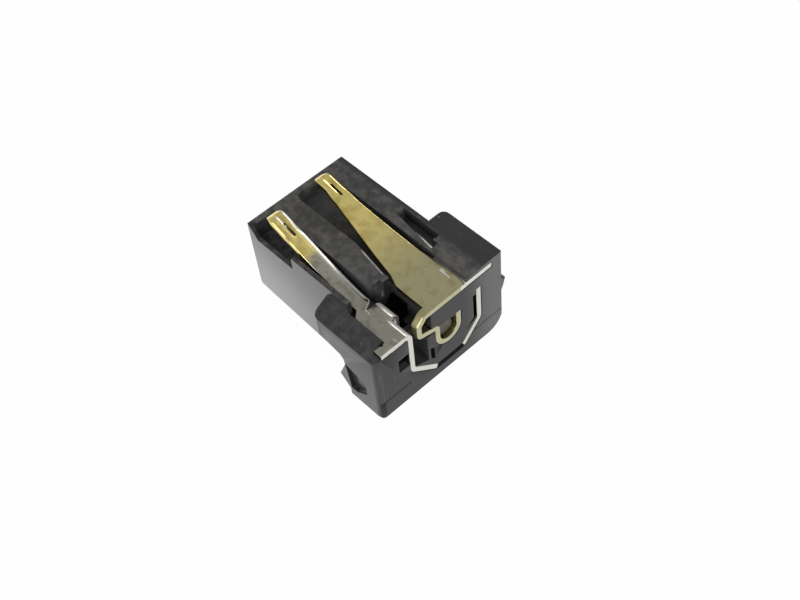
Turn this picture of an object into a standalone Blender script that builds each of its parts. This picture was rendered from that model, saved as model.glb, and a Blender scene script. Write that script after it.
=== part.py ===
"""A small charging port connector for a barrel plug.

One black moulding carries a plug bore, two folded spring contacts and a turned centre pin.
The plug enters at the far end (+Y). The board presses on the two spring tips from above (+Z).
The origin is the middle of the underside, and the rear face is at Y = REAR.
Lengths are in metres, written as millimetres times MM.
"""

import math

import bmesh
import bpy
from mathutils import Matrix, Vector

MM = 0.001

# Plug and bore
BORE_RADIUS = 1.75 * MM        # guides a 3.5 mm barrel
MOUTH_FLARE = 0.27 * MM        # how much wider the bore's mouth is
MOUTH_DEPTH = 0.32 * MM
PIN_RADIUS = 0.50 * MM
PIN_INSET = 1.30 * MM          # the pin's tip behind the mouth
TAIL_INSET = 0.24 * MM         # its tail's end, from the rear face
PIN_NOSE = 0.28 * MM
WEB_THICKNESS = 0.55 * MM      # the wall that closes the bore and holds the pin
CORE_DEPTH = 0.95 * MM         # from the rear face to that wall

# Walls of the housing
LEFT_WALL = 1.56 * MM          # beside the bore, wide enough for the narrow spring
RIGHT_WALL = 0.64 * MM
BELLY_WALL = 0.50 * MM         # under the U-shaped band
ROOF = 0.14 * MM               # between the bore and the wide spring's channel
CHANNEL_DEPTH = 0.61 * MM
END_WALL = 0.40 * MM           # between the pockets and the plug face
THIN_WALL = 0.23 * MM          # outside the narrow spring's pocket
BODY_LENGTH = 9.50 * MM
BELLY_ROUND = 1.02 * MM        # the two long lower edges, at the mouth
REAR_ROUND = 0.15 * MM         # the same edges at the rear
FACE_BEVEL = 0.10 * MM

# Ears
EAR_REACH = 0.96 * MM
EAR_LENGTH = 3.58 * MM
EAR_STEP = 0.05 * MM           # the right ear's top lies this much lower
LEFT_EAR_STEP = 0.49 * MM      # and the left one's, beside the narrow plate
LEFT_EAR_SLOPE = 0.55 * MM     # from there it falls this much to its outer edge
LEFT_EAR_MORE = 0.45 * MM      # the left ear is this much longer
LEFT_EAR_BEVEL = 0.40 * MM     # the length of its top's slanted rear edge
LEFT_EAR_FALL = 0.42 * MM
EAR_INSET = 0.52 * MM          # how far the right ear's top reaches into the body
EAR_EDGE = 0.04 * MM           # bevel of the right rear corner
LEFT_EDGE = 0.30 * MM          # rounding of the left rear corner
EAR_CORNER = 0.33 * MM
EAR_FOOT_ROUND = 0.95 * MM
FOOT_LENGTH = 2.62 * MM
FOOT_HEIGHT = 2.20 * MM
NOTCH_DEPTH = 0.46 * MM        # between the foot and the upper lug
LUG_SLOPE = 0.72 * MM
SIDE_POCKET_DEPTH = 0.22 * MM
SIDE_POCKET_START = 0.85 * MM  # from the rear face
SIDE_POCKET_LOW = 0.66 * MM    # its lowest edge, toward the foot's end
SIDE_POCKET_REAR = 1.15 * MM   # its lower edge at the rear
NUB_REACH = 0.27 * MM
NUB_TOP = 3.10 * MM
NUB_HEIGHT = 1.10 * MM
NUB_WIDTH = 0.42 * MM
LIP_HEIGHT = 1.10 * MM         # the band under the groove in the rear face
LIP_GROOVE = 0.09 * MM
LIP_LENGTH = 1.85 * MM

# Sheet metal
SHEET = 0.28 * MM
FIT = 0.03 * MM                # clearance between metal and plastic
BEND = 0.33 * MM               # centre-line radius of the folds
SLOT_WIDTH = 0.13 * MM         # the opening at each spring's tip

# Wide spring, which leads to the pin
WIDE_SINK = 0.28 * MM          # its plate's top under the housing's top
WIDE_LEFT = 1.03 * MM          # the plate's left edge, from the bore's axis
WIDE_RIGHT = 1.13 * MM         # its right edge
WIDE_ROOT = 2.10 * MM          # where the arm starts to rise, from the rear face
WIDE_TIP_WIDTH = 0.72 * MM
WIDE_TIP_SHIFT = 0.40 * MM     # the tip's middle, right of the bore's axis
WIDE_WAIST = (0.12 * MM, 0.04 * MM)    # how far the root steps in, left and right
WIDE_EVEN = (0.90 * MM, 2.30 * MM)     # the tip's length of even width, left and right
WING_REACH = 1.60 * MM         # the rear wing, past the plate's right edge
WING_LENGTH = 1.15 * MM
SHOULDER_REACH = 0.42 * MM     # the wing behind it, which shows in the window
SHOULDER_LENGTH = 3.65 * MM
HOOK_LENGTH = 0.40 * MM
HOOK_DROP = 1.07 * MM          # the folded flange's height
HOOK_OUT = 0.64 * MM           # how far the flange stands left of the plate
HOOK_BEND = 0.20 * MM           # must exceed half the sheet and its clearance
HOOK_FALL = 0.28 * MM          # the strip falls this much on its way back to the pin
HOOK_SHELF = 0.42 * MM         # the flange's upper bend under the plate
HOOK_RISE = 0.72 * MM          # the hook's free end over the pin's axis

# Narrow spring, which leads to the sleeve
NARROW_SINK = 0.67 * MM
NARROW_WIDTH = 0.82 * MM
NARROW_ROOT = 2.66 * MM
POCKET_WIDTH = 1.10 * MM
POCKET_DEPTH = 1.00 * MM
BAND_WIDTH = 1.05 * MM         # of the U-shaped band, along the bore
BAND_GAP = 0.33 * MM           # between the bore and the band's left leg
BAND_FOOT = 0.84 * MM          # half the flat at the bottom of the U
BAND_KNEES = (0.79 * MM, 0.82 * MM)    # where the legs bend in, under the bore's axis
BAND_RISE = 1.22 * MM          # the right leg's end over that axis
BAND_SET_BACK = 0.35 * MM      # the flat's distance from the rear face
FINGER_START = 1.20 * MM
FINGER_WIDTH = 1.07 * MM
FINGER_DROP = 2.00 * MM
FINGER_BITE = 0.05 * MM        # how far the finger reaches into the plug's way
PLATE_LAP = 0.20 * MM          # how far the folded strips reach into the plate
LEFT_WING = 0.56 * MM
LEFT_WING_LENGTH = 0.45 * MM

# Both arms
CREST_RISE = 0.95 * MM         # the tips' tops over the housing
CREST_ROUND = 0.42 * MM
NOSE_LENGTH = 0.26 * MM        # the straight piece past the crest
NOSE_ANGLE = math.radians(38)
ARM_LEAD = 0.90 * MM           # the flat before the root that already bends
ARM_CURVE = 0.9                # 0 is a straight rise, more bends nearer the root
SLOT_START = 1.60 * MM         # the tip's opening, from its end
SLOT_END = 0.82 * MM
WIDE_TIP_ROOM = 0.50 * MM      # between a tip and its pocket's end
NARROW_TIP_ROOM = 0.70 * MM
POCKET_CORNER = 0.30 * MM

# Open places in the housing
CHANNEL_LEFT = 0.72 * MM       # the channel's left edge, from the bore's axis
CHANNEL_NECK = 2.00 * MM       # where that edge slants out to the spring's root
CHANNEL_RIGHT = 1.20 * MM
WINDOW_OVER = 0.21 * MM        # how much of the shoulder it uncovers
WINDOW_SLANT = 0.36 * MM       # its left edge and the shoulder's edge lean to the right
WINDOW_NECK = 0.40 * MM        # the narrow stretch at its near end
WINDOW_START = 2.30 * MM
WINDOW_LENGTH = 2.60 * MM
WINDOW_WALL = 0.23 * MM        # between it and the body's right side
CUT_LOW = 0.72 * MM            # the lowered stretch of the thin wall
CUT_START = 6.37 * MM
CUT_LENGTH = 2.45 * MM
GAP_LENGTH = 2.45 * MM         # the deep gap between the two plates
GAP_LIFT = 0.62 * MM           # its floor over the bore's axis

# Hollows of the rear face, beside the hook
RIB = 0.14 * MM                # between the wide hollow and the narrow one
NARROW_HOLLOW = 0.24 * MM
HOLLOW_GAP = 0.36 * MM         # from the hook's sheet to the narrow hollow
HOLLOW_LOW = 1.02 * MM         # its floor under the bore's axis
HOLLOW_DEPTH = 0.50 * MM

# Worked-out places
WIDTH = LEFT_WALL + 2 * BORE_RADIUS + RIGHT_WALL
HALF = WIDTH / 2
BORE_X = -HALF + LEFT_WALL + BORE_RADIUS
BORE_Z = BELLY_WALL + SHEET + 2 * FIT + BORE_RADIUS
TOP = BORE_Z + BORE_RADIUS + ROOF + CHANNEL_DEPTH
REAR = -BODY_LENGTH / 2
FACE = REAR + BODY_LENGTH
EAR_HALF = HALF + EAR_REACH
POCKET_END = FACE - END_WALL
CHANNEL_FLOOR = TOP - CHANNEL_DEPTH
WIDE_Z = TOP - WIDE_SINK - SHEET / 2
NARROW_Z = TOP - NARROW_SINK - SHEET / 2
POCKET_LEFT = -HALF + THIN_WALL
NARROW_X = POCKET_LEFT + POCKET_WIDTH / 2 - 0.02 * MM
LEG_LEFT = BORE_X - BORE_RADIUS - BAND_GAP - SHEET / 2
LEG_RIGHT = BORE_X + BORE_RADIUS + SHEET / 2
BAND_Z = BELLY_WALL + FIT + SHEET / 2
NARROW_PLATE_EDGE = LEG_LEFT - BEND - 0.08 * MM
WIDE_TIP = POCKET_END - WIDE_TIP_ROOM
NARROW_TIP = POCKET_END - NARROW_TIP_ROOM
PIN_TAIL = PIN_RADIUS - FIT
HOOK_RADIUS = PIN_RADIUS + SHEET / 2
GAP_FLOOR = BORE_Z + GAP_LIFT
BIG = 3 * BODY_LENGTH


# Mesh helpers

def material(name, colour, roughness, metallic):
    mat = bpy.data.materials.new(name)
    mat.use_nodes = True
    shader = mat.node_tree.nodes["Principled BSDF"]
    shader.inputs["Base Color"].default_value = (*colour, 1.0)
    shader.inputs["Roughness"].default_value = roughness
    shader.inputs["Metallic"].default_value = metallic
    return mat


def as_object(name, mesh_builder):
    mesh = bpy.data.meshes.new(name)
    bmesh.ops.recalc_face_normals(mesh_builder, faces=mesh_builder.faces)
    mesh_builder.to_mesh(mesh)
    mesh_builder.free()
    obj = bpy.data.objects.new(name, mesh)
    bpy.context.collection.objects.link(obj)
    return obj


def loft(name, rings):
    """A closed solid through rings with the same number of points."""
    bm = bmesh.new()
    rows = [[bm.verts.new(point) for point in ring] for ring in rings]
    count = len(rows[0])
    for near, far in zip(rows, rows[1:]):
        for i in range(count):
            j = (i + 1) % count
            bm.faces.new((near[i], near[j], far[j], far[i]))
    bm.faces.new(rows[0])
    bm.faces.new(rows[-1])
    return as_object(name, bm)


def along_x(name, outline, start, end):
    return loft(name, [[(x, y, z) for y, z in outline] for x in (start, end)])


def along_y(name, outline, start, end):
    return loft(name, [[(x, y, z) for x, z in outline] for y in (start, end)])


def along_z(name, outline, start, end):
    return loft(name, [[(x, y, z) for x, y in outline] for z in (start, end)])


def block(name, x, y, z):
    outline = [(x[0], y[0]), (x[1], y[0]), (x[1], y[1]), (x[0], y[1])]
    return along_z(name, outline, *z)


def arc(centre, radius, start, end, steps=6):
    """Points of an arc, from one angle to another in degrees."""
    angles = [math.radians(start + (end - start) * i / steps) for i in range(steps + 1)]
    return [(centre[0] + radius * math.cos(a), centre[1] + radius * math.sin(a)) for a in angles]


def turned(name, profile, steps=32):
    """A body of revolution about the bore's axis, from (y, radius) pairs."""
    rings = []
    for y, radius in profile:
        circle = arc((BORE_X, BORE_Z), radius, 0, 360, steps)[:-1]
        rings.append([(x, y, z) for x, z in circle])
    return loft(name, rings)


def rounded(points, radius, steps=5):
    """The same path with its inner corners replaced by arcs."""
    path = [Vector(points[0])]
    for before, corner, after in zip(points, points[1:], points[2:]):
        corner = Vector(corner)
        back = (Vector(before) - corner).normalized()
        ahead = (Vector(after) - corner).normalized()
        half = back.angle(ahead) / 2
        reach = min(radius / math.tan(half), 0.48 * (Vector(before) - corner).length,
                    0.48 * (Vector(after) - corner).length)
        size = reach * math.tan(half)
        middle = corner + (back + ahead).normalized() * size / math.sin(half)
        start = corner + back * reach - middle
        turn = math.pi - 2 * half
        if start.cross(corner + ahead * reach - middle) < 0:
            turn = -turn
        for i in range(steps + 1):
            path.append(middle + Matrix.Rotation(turn * i / steps, 2) @ start)
    path.append(Vector(points[-1]))
    return path


def sides(path, thickness):
    """The two edges of a band of one thickness along a path."""
    left, right = [], []
    for i, point in enumerate(path):
        before = path[max(i - 1, 0)]
        after = path[min(i + 1, len(path) - 1)]
        first = (point - before).normalized() if i else (after - point).normalized()
        second = (after - point).normalized() if i < len(path) - 1 else first
        along = (first + second).normalized()
        normal = Vector((-along.y, along.x))
        offset = normal * thickness / 2 / max(along.dot(first), 0.3)
        left.append(point + offset)
        right.append(point - offset)
    return left, right


def band(name, path, thickness, start, end):
    """A folded strip: a path in XZ, given thickness and a width along Y."""
    left, right = sides(path, thickness)
    return along_y(name, [tuple(p) for p in left + right[::-1]], start, end)


def combine(target, other, operation):
    """One exact Boolean step, its second solid kept as a hidden cutter."""
    step = target.modifiers.new(other.name, "BOOLEAN")
    step.operation = operation
    step.solver = "EXACT"
    step.object = other
    other.hide_render = True
    other.display_type = "WIRE"


def finish(obj, mat, origin=(0, 0, 0), sharp=35):
    obj.data.materials.append(mat)
    obj.data.shade_smooth()
    obj.data.set_sharp_from_angle(angle=math.radians(sharp))
    obj.data.transform(Matrix.Translation(-Vector(origin)))
    obj.location = origin


# Housing

def body_outline(inset, belly):
    half, low, top = HALF - inset, inset, TOP - inset
    radius = belly - inset
    right = arc((half - radius, low + radius), radius, -90, 0, 8)
    left = arc((-half + radius, low + radius), radius, 180, 270, 8)
    return [(-half, top)] + left + right + [(half, top)]


def make_body():
    rings = []
    for y, inset, belly in (
            (REAR, 0, REAR_ROUND),
            (FACE - FACE_BEVEL, 0, BELLY_ROUND),
            (FACE, FACE_BEVEL, BELLY_ROUND)):
        rings.append([(x, y, z) for x, z in body_outline(inset, belly)])
    return loft("housing", rings)


def ear_front():
    """The ears from behind: one lower corner is rounded, the other nearly sharp."""
    top = TOP
    corner = 0.12 * MM
    foot = arc((EAR_HALF - EAR_FOOT_ROUND, EAR_FOOT_ROUND), EAR_FOOT_ROUND, -90, 0, 8)
    left = [(-EAR_HALF, top), (-EAR_HALF, corner), (-EAR_HALF + corner, 0)]
    return along_y("ear_front", left + foot + [(EAR_HALF, top)], REAR, REAR + EAR_LENGTH + MM)


def ear_plan():
    """The ears from above, all corners rounded but the right rear one."""
    near, far = REAR + EAR_LENGTH, REAR + EAR_LENGTH + LEFT_EAR_MORE
    right = arc((EAR_HALF - EAR_CORNER, near - EAR_CORNER), EAR_CORNER, 0, 90)
    right.append((0, near))
    left = [(0, far)] + arc((-EAR_HALF + EAR_CORNER, far - EAR_CORNER), EAR_CORNER, 90, 180)
    rear = arc((-EAR_HALF + LEFT_EDGE, REAR + LEFT_EDGE), LEFT_EDGE, 180, 270)
    rear += [(EAR_HALF - EAR_EDGE, REAR), (EAR_HALF, REAR + EAR_EDGE)]
    return along_z("ear_plan", right + left + rear, -MM, TOP + MM)


def ear_side():
    """The ears from the side: a foot with a sloping back, a notch, and a lug above it."""
    foot = REAR + FOOT_LENGTH
    back = REAR + EAR_LENGTH
    notch = FOOT_HEIGHT
    outline = [
        (REAR - MM, -MM),
        (foot - 0.62 * MM, -MM),
        (foot - 0.60 * MM, 0.52 * MM),
        (foot, 1.12 * MM),
        (foot - NOTCH_DEPTH, notch),
        (foot - NOTCH_DEPTH + 0.04 * MM, notch + 0.30 * MM),
        (foot - NOTCH_DEPTH + 0.25 * MM, notch + 0.52 * MM),
        (back, notch + LUG_SLOPE),
        (back + MM, notch + LUG_SLOPE),
        (back + MM, TOP + MM),
        (REAR - MM, TOP + MM),
    ]
    return along_x("ear_side", outline, -EAR_HALF - MM, EAR_HALF + MM)


def side_pocket(side):
    """The shallow pocket in an ear's foot, open at the notch."""
    foot = REAR + FOOT_LENGTH
    outline = [
        (REAR + SIDE_POCKET_START, SIDE_POCKET_REAR),
        (REAR + SIDE_POCKET_START, FOOT_HEIGHT - 0.30 * MM),
        (foot - NOTCH_DEPTH, FOOT_HEIGHT + 0.05 * MM),
        (foot - 0.70 * MM, SIDE_POCKET_LOW),
        (foot - 1.07 * MM, SIDE_POCKET_LOW),
    ]
    inner = side * (EAR_HALF - SIDE_POCKET_DEPTH)
    return along_x("side_pocket", outline, *sorted((inner, side * (EAR_HALF + MM))))


def nub():
    """A small wedge on the right ear's outer face, at the rear."""
    low = NUB_TOP - NUB_HEIGHT
    reach = EAR_HALF + NUB_REACH
    outline = [
        (EAR_HALF - 0.20 * MM, NUB_TOP + 0.02 * MM),
        (reach, NUB_TOP - 0.12 * MM),
        (reach - 0.14 * MM, NUB_TOP - 0.55 * NUB_HEIGHT),
        (EAR_HALF - 0.20 * MM, low - 0.20 * MM),
    ]
    start = REAR + 0.06 * MM
    return along_y("nub", outline, start, start + NUB_WIDTH)


def make_ears():
    ears = ear_front()
    combine(ears, ear_plan(), "INTERSECT")
    combine(ears, ear_side(), "INTERSECT")
    for side in (-1, 1):
        combine(ears, side_pocket(side), "DIFFERENCE")
    combine(ears, nub(), "UNION")
    return ears


def lip_groove(side):
    """The fine groove over the lower band of the rear face."""
    outer = side * (EAR_HALF + MM)
    inner = side * (EAR_HALF - LIP_LENGTH)
    half = LIP_GROOVE / 2
    outline = [
        (REAR - MM, LIP_HEIGHT - half),
        (REAR, LIP_HEIGHT - half),
        (REAR + LIP_GROOVE, LIP_HEIGHT),
        (REAR, LIP_HEIGHT + half),
        (REAR - MM, LIP_HEIGHT + half),
    ]
    return along_x("lip_groove", outline, *sorted((inner, outer)))


def bore():
    start = REAR + CORE_DEPTH + WEB_THICKNESS
    return turned("bore", [
        (start, BORE_RADIUS),
        (FACE - MOUTH_DEPTH, BORE_RADIUS),
        (FACE, BORE_RADIUS + MOUTH_FLARE),
        (FACE + MM, BORE_RADIUS + MOUTH_FLARE),
    ], 48)


def pin_hole():
    start = REAR + CORE_DEPTH - 0.10 * MM
    end = REAR + CORE_DEPTH + WEB_THICKNESS + 0.10 * MM
    return turned("pin_hole", [(start, PIN_RADIUS + FIT), (end, PIN_RADIUS + FIT)])


def channel():
    """The wide spring's open channel: slanted beside the root, rounded at its far left corner."""
    left, right = BORE_X - CHANNEL_LEFT, BORE_X + CHANNEL_RIGHT
    r = POCKET_CORNER
    start, neck = REAR + WIDE_ROOT, REAR + WIDE_ROOT + 0.80 * MM
    near = BORE_X - WIDE_LEFT - FIT
    outline = [(near, start), (right, start), (right, POCKET_END)]
    outline += arc((left + r, POCKET_END - r), r, 90, 180)
    outline += [(left, neck + CHANNEL_NECK), (near, neck)]
    return along_z("channel", outline, CHANNEL_FLOOR, TOP + MM)


def channel_root():
    """The open place round the wide spring's plate, down to its underside."""
    x = (BORE_X - WIDE_LEFT - FIT, BORE_X + CHANNEL_RIGHT)
    y = (REAR - MM, REAR + WIDE_ROOT + 0.10 * MM)
    return block("channel_root", x, y, (WIDE_Z - SHEET / 2 - FIT, TOP + MM))


def wing_slot():
    """The covered slot for the wide plate's rear wing."""
    low, high = WIDE_Z - SHEET / 2 - FIT, WIDE_Z + SHEET / 2 + FIT
    x = (BORE_X, BORE_X + WIDE_RIGHT + WING_REACH + FIT)
    return block("wing_slot", x, (REAR - MM, REAR + WING_LENGTH + FIT), (low, high))


def shoulder_slot():
    low, high = WIDE_Z - SHEET / 2 - FIT, WIDE_Z + SHEET / 2 + FIT
    x = (BORE_X, BORE_X + WIDE_RIGHT + SHOULDER_REACH + FIT)
    return block("shoulder_slot", x, (REAR - MM, REAR + SHOULDER_LENGTH + FIT), (low, high))


def window():
    """The long recess beside the channel, where the shoulder's edge shows."""
    near = BORE_X + WIDE_RIGHT + SHOULDER_REACH - WINDOW_OVER
    right = HALF - WINDOW_WALL
    start = REAR + WINDOW_START
    end, step = start + WINDOW_LENGTH, start + 0.32 * MM
    outline = [(near, start), (near + WINDOW_NECK, start), (near + WINDOW_NECK, step), (right, step),
               (right, end), (near + WINDOW_SLANT, end)]
    return along_z("window", outline, CHANNEL_FLOOR, TOP + MM)


def right_ear_top():
    """The shallow cut that lowers the right ear's top."""
    x = (HALF - EAR_INSET, EAR_HALF + MM)
    return block("right_ear_top", x, (REAR - MM, REAR + EAR_LENGTH), (TOP - EAR_STEP, TOP + MM))


def left_ear_top():
    """The deeper cut over the left ear, which leaves a top that slants outward."""
    level = TOP - LEFT_EAR_STEP
    fall = LEFT_EAR_SLOPE / EAR_REACH
    outline = [(-HALF, level), (-EAR_HALF - MM, level - fall * (EAR_REACH + MM)),
               (-EAR_HALF - MM, TOP + MM), (-HALF, TOP + MM)]
    return along_y("left_ear_top", outline, REAR - MM, REAR + EAR_LENGTH + LEFT_EAR_MORE + FIT)


def left_ear_edge():
    """The slanted rear edge of that top."""
    level = TOP - LEFT_EAR_STEP
    outline = [
        (REAR - MM, level - LEFT_EAR_FALL),
        (REAR, level - LEFT_EAR_FALL),
        (REAR + LEFT_EAR_BEVEL, level),
        (REAR + LEFT_EAR_BEVEL, TOP + MM),
        (REAR - MM, TOP + MM),
    ]
    return along_x("left_ear_edge", outline, -EAR_HALF - MM, -HALF)


def pocket():
    """The narrow spring's pocket."""
    x = (POCKET_LEFT, POCKET_LEFT + POCKET_WIDTH)
    return block("pocket", x, (REAR + NARROW_ROOT - 0.4 * MM, POCKET_END), (TOP - POCKET_DEPTH, TOP + MM))


def plate_seat():
    """The ledge that carries the narrow spring's plate, with a covered slot at its left."""
    low = NARROW_Z - SHEET / 2 - FIT
    x = (-HALF - FIT, BORE_X - BORE_RADIUS - FINGER_BITE + SHEET + 0.10 * MM)
    return block("plate_seat", x, (REAR - MM, REAR + NARROW_ROOT), (low, TOP + MM))


def left_wing_slot():
    """The open rebate for the narrow plate's short wing."""
    x = (-HALF - LEFT_WING - FIT, -HALF + MM)
    y = (REAR - MM, REAR + LEFT_WING_LENGTH + FIT)
    return block("left_wing_slot", x, y, (NARROW_Z - SHEET / 2 - FIT, TOP + MM))


def wall_cut():
    """The lowered stretch of the thin left wall, with a slanted far end."""
    start = REAR + CUT_START
    end = start + CUT_LENGTH
    low = TOP - CUT_LOW
    outline = [(start, low), (end, low), (end + 0.58 * MM, TOP + 0.05 * MM), (start, TOP + 0.05 * MM)]
    return along_x("wall_cut", outline, -HALF - MM, POCKET_LEFT + 0.05 * MM)


# Paths of the folded sheets

def u_path():
    """The U-shaped band, from the narrow plate down round the core."""
    low = BAND_Z
    return rounded([
        (NARROW_PLATE_EDGE - PLATE_LAP, NARROW_Z),
        (LEG_LEFT, NARROW_Z),
        (LEG_LEFT, BORE_Z - BAND_KNEES[0]),
        (BORE_X - BAND_FOOT, low),
        (BORE_X + BAND_FOOT, low),
        (LEG_RIGHT, BORE_Z - BAND_KNEES[1]),
        (LEG_RIGHT, BORE_Z + BAND_RISE),
    ], BEND)


def hook_path():
    """From the wide plate down over its left edge, back, and round the pin's tail."""
    edge = BORE_X - WIDE_LEFT
    flange = edge - HOOK_OUT
    low = WIDE_Z - HOOK_DROP
    side = BORE_X - HOOK_RADIUS
    path = rounded([
        (edge + 0.30 * MM, WIDE_Z),
        (edge - 0.25 * MM, WIDE_Z - 0.02 * MM),
        (flange, WIDE_Z - HOOK_SHELF),
        (flange, low),
        (side, low - HOOK_FALL),
        (side, BORE_Z),
    ], HOOK_BEND)
    loop = [Vector(p) for p in arc((BORE_X, BORE_Z), HOOK_RADIUS, 180, 360, 12)]
    return path + loop[1:] + [Vector((BORE_X + HOOK_RADIUS, BORE_Z + HOOK_RISE))]


def finger_path():
    """The short finger that the plug's barrel pushes aside."""
    x = BORE_X - BORE_RADIUS + FINGER_BITE - SHEET / 2
    return rounded([
        (NARROW_PLATE_EDGE - PLATE_LAP, NARROW_Z),
        (x - 0.04 * MM, NARROW_Z),
        (x - 0.06 * MM, NARROW_Z - FINGER_DROP / 2),
        (x, NARROW_Z - FINGER_DROP),
    ], BEND)


def u_slot():
    return band("u_slot", u_path(), SHEET + 2 * FIT, REAR - MM, REAR + BAND_WIDTH + FIT)


def hook_room():
    return band("hook_room", hook_path(), SHEET + 2 * FIT, REAR - MM, REAR + CORE_DEPTH)


def tail_room():
    """The space inside the hook, where the pin's tail ends."""
    reach = PIN_RADIUS + SHEET / 3
    high = BORE_Z + PIN_RADIUS + 0.20 * MM
    outline = arc((BORE_X, BORE_Z), reach, 180, 360, 12) + [(BORE_X + reach, high), (BORE_X - reach, high)]
    return along_y("tail_room", outline, REAR - MM, REAR + CORE_DEPTH - 0.02 * MM)


def left_room():
    """The dark hollow beside the band's left leg, open to the gap above it."""
    left = LEG_LEFT
    right = BORE_X - HOOK_RADIUS - SHEET / 2 - HOLLOW_GAP - RIB
    outline = [
        (left, GAP_FLOOR + 0.10 * MM),
        (left, BORE_Z - 0.62 * MM),
        (right, BORE_Z - 0.98 * MM),
        (right, GAP_FLOOR + 0.10 * MM),
    ]
    return along_y("left_room", outline, REAR - MM, REAR + CORE_DEPTH - 0.05 * MM)


def small_room():
    """A narrow hollow beside it, behind a rib."""
    left = BORE_X - HOOK_RADIUS - SHEET / 2 - HOLLOW_GAP
    right = left + NARROW_HOLLOW
    outline = [
        (left, BORE_Z - 0.30 * MM),
        (left, BORE_Z - HOLLOW_LOW),
        (right, BORE_Z - HOLLOW_LOW - 0.20 * MM),
        (right, BORE_Z - 0.45 * MM),
    ]
    return along_y("small_room", outline, REAR - MM, REAR + HOLLOW_DEPTH)


def top_gap():
    """The deep gap between the two plates."""
    x = (LEG_LEFT, BORE_X - WIDE_LEFT + 0.05 * MM)
    return block("top_gap", x, (REAR - MM, REAR + GAP_LENGTH), (GAP_FLOOR, TOP + MM))


def right_room():
    """The hollow under the grey core block, beside the band's right leg."""
    x = BORE_X + HOOK_RADIUS + SHEET / 2 + FIT + 0.20 * MM
    outline = [
        (x, BORE_Z - 1.05 * MM),
        (LEG_RIGHT - 0.10 * MM, BORE_Z - 0.62 * MM),
        (LEG_RIGHT - 0.10 * MM, BORE_Z + 0.95 * MM),
        (LEG_RIGHT - SHEET - 0.08 * MM, BORE_Z + 0.95 * MM),
        (LEG_RIGHT - SHEET - 0.08 * MM, BORE_Z - 0.55 * MM),
    ]
    return along_y("right_room", outline, REAR - MM, REAR + BAND_WIDTH)


def rear_recess():
    """The small square recess in the left ear's rear face."""
    x = (LEG_LEFT - SHEET - 0.50 * MM, LEG_LEFT)
    return block("rear_recess", x, (REAR - MM, REAR + 0.35 * MM), (BORE_Z - 0.25 * MM, BORE_Z + 0.60 * MM))


def finger_room():
    x = BORE_X - BORE_RADIUS + FINGER_BITE - SHEET
    start = REAR + FINGER_START - 0.05 * MM
    room = (x - 0.20 * MM, x + SHEET + 0.40 * MM)
    return block("finger_room", room, (start, start + FINGER_WIDTH + 0.10 * MM),
                 (NARROW_Z - FINGER_DROP - 0.15 * MM, TOP + MM))


def make_housing(mat):
    housing = make_body()
    combine(housing, make_ears(), "UNION")
    cuts = [
        bore(), pin_hole(), channel(), channel_root(), wing_slot(), shoulder_slot(), window(),
        right_ear_top(), left_ear_top(), left_ear_edge(), pocket(), plate_seat(),
        left_wing_slot(), wall_cut(), u_slot(), hook_room(), tail_room(), left_room(),
        small_room(), top_gap(), right_room(), rear_recess(), finger_room(),
        lip_groove(-1), lip_groove(1),
    ]
    for cut in cuts:
        combine(housing, cut, "DIFFERENCE")
    finish(housing, mat)
    return housing


# Contacts

def arm_path(root_y, root_z, tip_y):
    """The side view of a spring arm: flat root, rising leaf, round crest, falling nose."""
    crest_z = TOP + CREST_RISE - SHEET / 2
    crest_y = tip_y - CREST_ROUND * math.sin(NOSE_ANGLE) - NOSE_LENGTH * math.cos(NOSE_ANGLE)
    nose_z = crest_z - CREST_ROUND * (1 - math.cos(NOSE_ANGLE)) - NOSE_LENGTH * math.sin(NOSE_ANGLE)
    start = root_y - ARM_LEAD
    path = [Vector((REAR, root_z)), Vector((start, root_z))]
    for i in range(1, 12):
        t = i / 12
        lift = t * t * (1 + ARM_CURVE * (1 - t))
        path.append(Vector((start + (crest_y - start) * t, root_z + (crest_z - root_z) * lift)))
    path.append(Vector((crest_y, crest_z)))
    for i in range(1, 5):
        angle = NOSE_ANGLE * i / 4
        fall = CREST_ROUND * (1 - math.cos(angle))
        path.append(Vector((crest_y + CREST_ROUND * math.sin(angle), crest_z - fall)))
    path.append(Vector((tip_y, nose_z)))
    return path


def leaf(name, path, edges):
    """A sheet along a path in YZ, its left and right edges given by a function of Y."""
    upper, lower = sides(path, SHEET)
    rings = []
    for point, high, low in zip(path, upper, lower):
        left, right = edges(point.x)
        rings.append([
            (left, low.x, low.y), (right, low.x, low.y),
            (right, high.x, high.y), (left, high.x, high.y),
        ])
    return loft(name, rings)


def ease(value, start, end):
    t = min(max((value - start) / (end - start), 0), 1)
    return t * t * (3 - 2 * t)


def wide_edges(y):
    """The wide arm steps in at its root and then narrows evenly, sooner on its right."""
    root = REAR + WIDE_ROOT
    step = ease(y, root, root + 0.70 * MM)
    nose = 0.10 * MM * ease(y, WIDE_TIP - 0.35 * MM, WIDE_TIP)
    middle = BORE_X + WIDE_TIP_SHIFT
    edges = []
    for side, base, even, waist in zip((-1, 1), (WIDE_LEFT, WIDE_RIGHT), WIDE_EVEN, WIDE_WAIST):
        t = min(max((y - root) / (WIDE_TIP - even - root), 0), 1)
        near = BORE_X + side * (base - waist * step)
        edges.append(near + (middle + side * WIDE_TIP_WIDTH / 2 - near) * t - side * nose)
    return edges


def narrow_edges(y):
    root = ease(y, REAR + NARROW_ROOT - 0.40 * MM, REAR + NARROW_ROOT - 0.05 * MM)
    nose = 0.09 * MM * ease(y, NARROW_TIP - 0.35 * MM, NARROW_TIP)
    left, right = NARROW_X - NARROW_WIDTH / 2, NARROW_X + NARROW_WIDTH / 2
    plate_left, plate_right = -HALF + FIT, NARROW_PLATE_EDGE
    left = plate_left + (left - plate_left) * root
    right = plate_right + (right - plate_right) * root
    return (left + nose, right - nose)


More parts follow.
